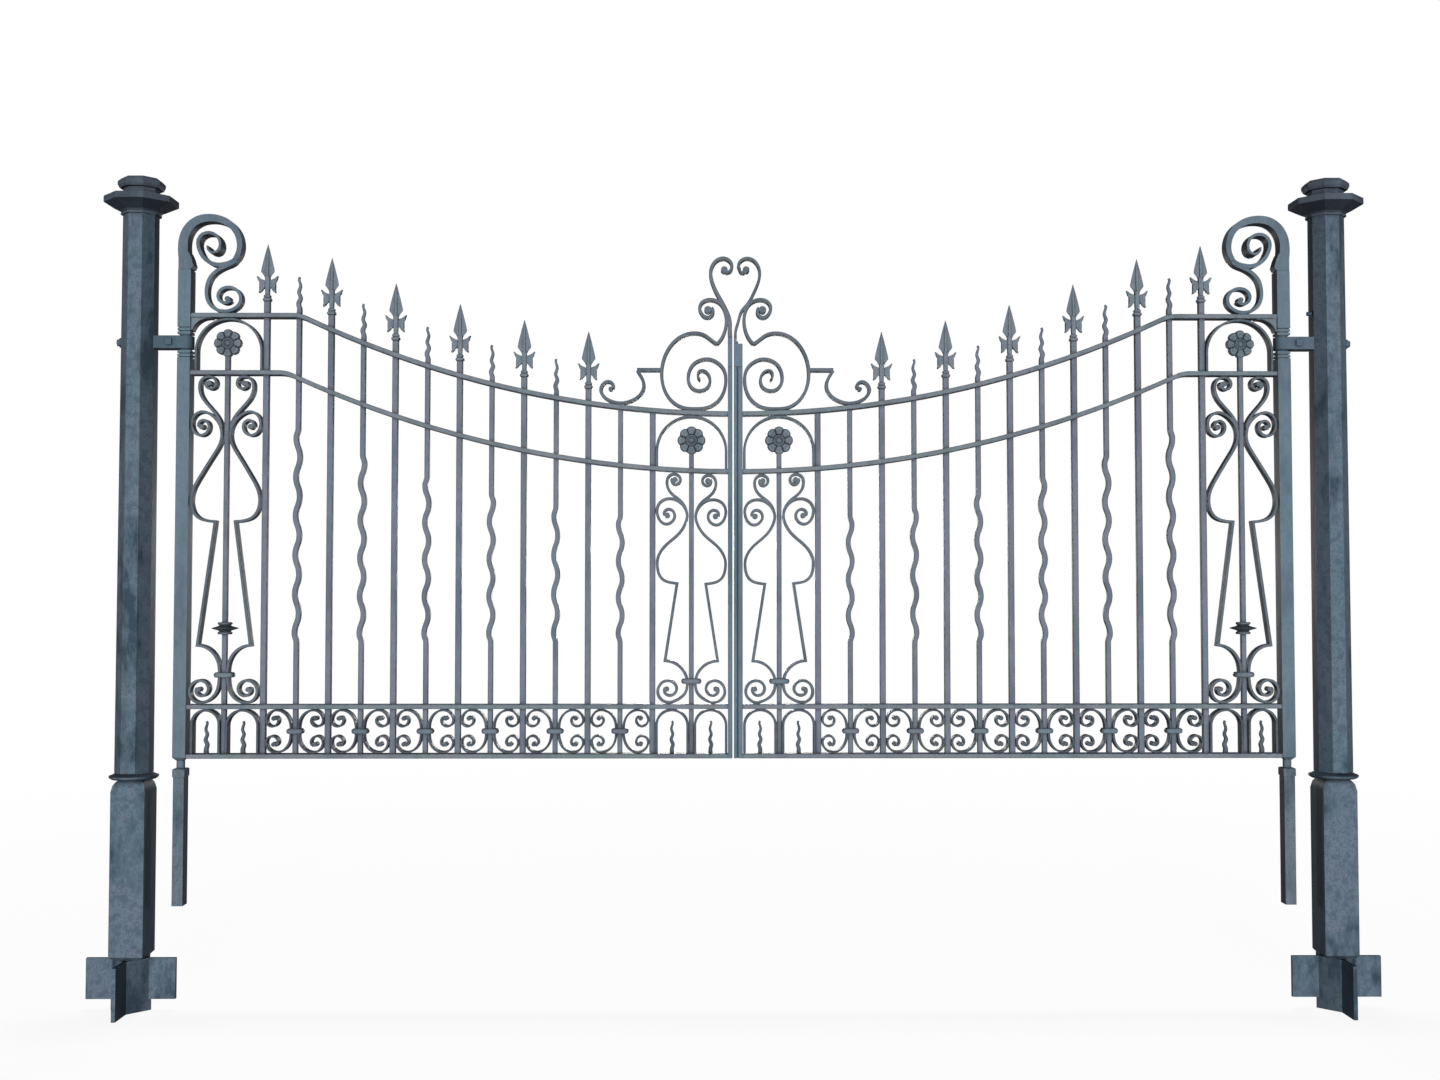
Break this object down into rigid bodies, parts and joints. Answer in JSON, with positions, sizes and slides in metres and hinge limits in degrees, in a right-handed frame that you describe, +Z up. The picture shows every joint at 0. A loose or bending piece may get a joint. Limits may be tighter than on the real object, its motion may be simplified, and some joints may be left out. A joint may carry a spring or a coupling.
{
  "type": "wrought iron driveway gate",
  "caption": "Double-leaf wrought iron driveway gate with swept rails, spear and wavy bars, scrollwork and octagonal cast posts; both leaves swing inward.",
  "frame": {"origin": "centre of the bottom face of the left post's foot", "axes": "+X along the closed leaves to the right post, +Y into the drive, +Z up"},
  "size_m": [4.21, 0.3, 2.714],
  "materials": {
    "painted_cast_iron": "slate blue-grey paint over cast iron, mottled",
    "weathered_stake_iron": "worn paint, pitted",
    "painted_hinge_iron": "satin paint with worn edges",
    "painted_ornament_iron": "satin paint over cast ornaments",
    "painted_wrought_iron": "satin slate blue-grey paint, fine scratches"
  },
  "bodies": {
    "posts": {"left_heel_stake": "weathered_stake_iron", "left_hinge_anchor": "painted_hinge_iron", "left_hinge_fasteners": "painted_hinge_iron", "left_hinge_strap": "painted_hinge_iron", "left_post": "painted_cast_iron", "left_post_capital": "painted_cast_iron", "right_heel_stake": "weathered_stake_iron", "right_hinge_anchor": "painted_hinge_iron", "right_hinge_fasteners": "painted_hinge_iron", "right_hinge_strap": "painted_hinge_iron", "right_post": "painted_cast_iron", "right_post_capital": "painted_cast_iron"},
    "left_leaf": {"left_collars": "painted_wrought_iron", "left_crest": "painted_wrought_iron", "left_crook": "painted_wrought_iron", "left_dado_arches": "painted_wrought_iron", "left_dado_rails": "painted_wrought_iron", "left_dado_scrolls": "painted_wrought_iron", "left_hanging_panel_scrolls": "painted_wrought_iron", "left_hanging_stile": "painted_wrought_iron", "left_lower_rail": "painted_wrought_iron", "left_meeting_panel_scrolls": "painted_wrought_iron", "left_meeting_stile": "painted_wrought_iron", "left_rosette_arches": "painted_wrought_iron", "left_rosettes": "painted_ornament_iron", "left_spear_heads": "painted_ornament_iron", "left_top_rail": "painted_wrought_iron", "left_upright_bars": "painted_wrought_iron", "left_wavy_bars": "painted_wrought_iron"},
    "right_leaf": {"right_collars": "painted_wrought_iron", "right_crest": "painted_wrought_iron", "right_crook": "painted_wrought_iron", "right_dado_arches": "painted_wrought_iron", "right_dado_rails": "painted_wrought_iron", "right_dado_scrolls": "painted_wrought_iron", "right_hanging_panel_scrolls": "painted_wrought_iron", "right_hanging_stile": "painted_wrought_iron", "right_lower_rail": "painted_wrought_iron", "right_meeting_panel_scrolls": "painted_wrought_iron", "right_meeting_stile": "painted_wrought_iron", "right_rosette_arches": "painted_wrought_iron", "right_rosettes": "painted_ornament_iron", "right_spear_heads": "painted_ornament_iron", "right_top_rail": "painted_wrought_iron", "right_upright_bars": "painted_wrought_iron", "right_wavy_bars": "painted_wrought_iron"}
  },
  "joints": [
    {"name": "left_leaf_hinge", "type": "hinge", "parent": "posts", "child": "left_leaf", "pos_m": [0.152, 0, 2.173], "axis": [0, 0, 1], "range_deg": [0, 95]},
    {"name": "right_leaf_hinge", "type": "hinge", "parent": "posts", "child": "right_leaf", "pos_m": [3.768, 0, 2.173], "axis": [0, 0, -1], "range_deg": [0, 95]}
  ]
}
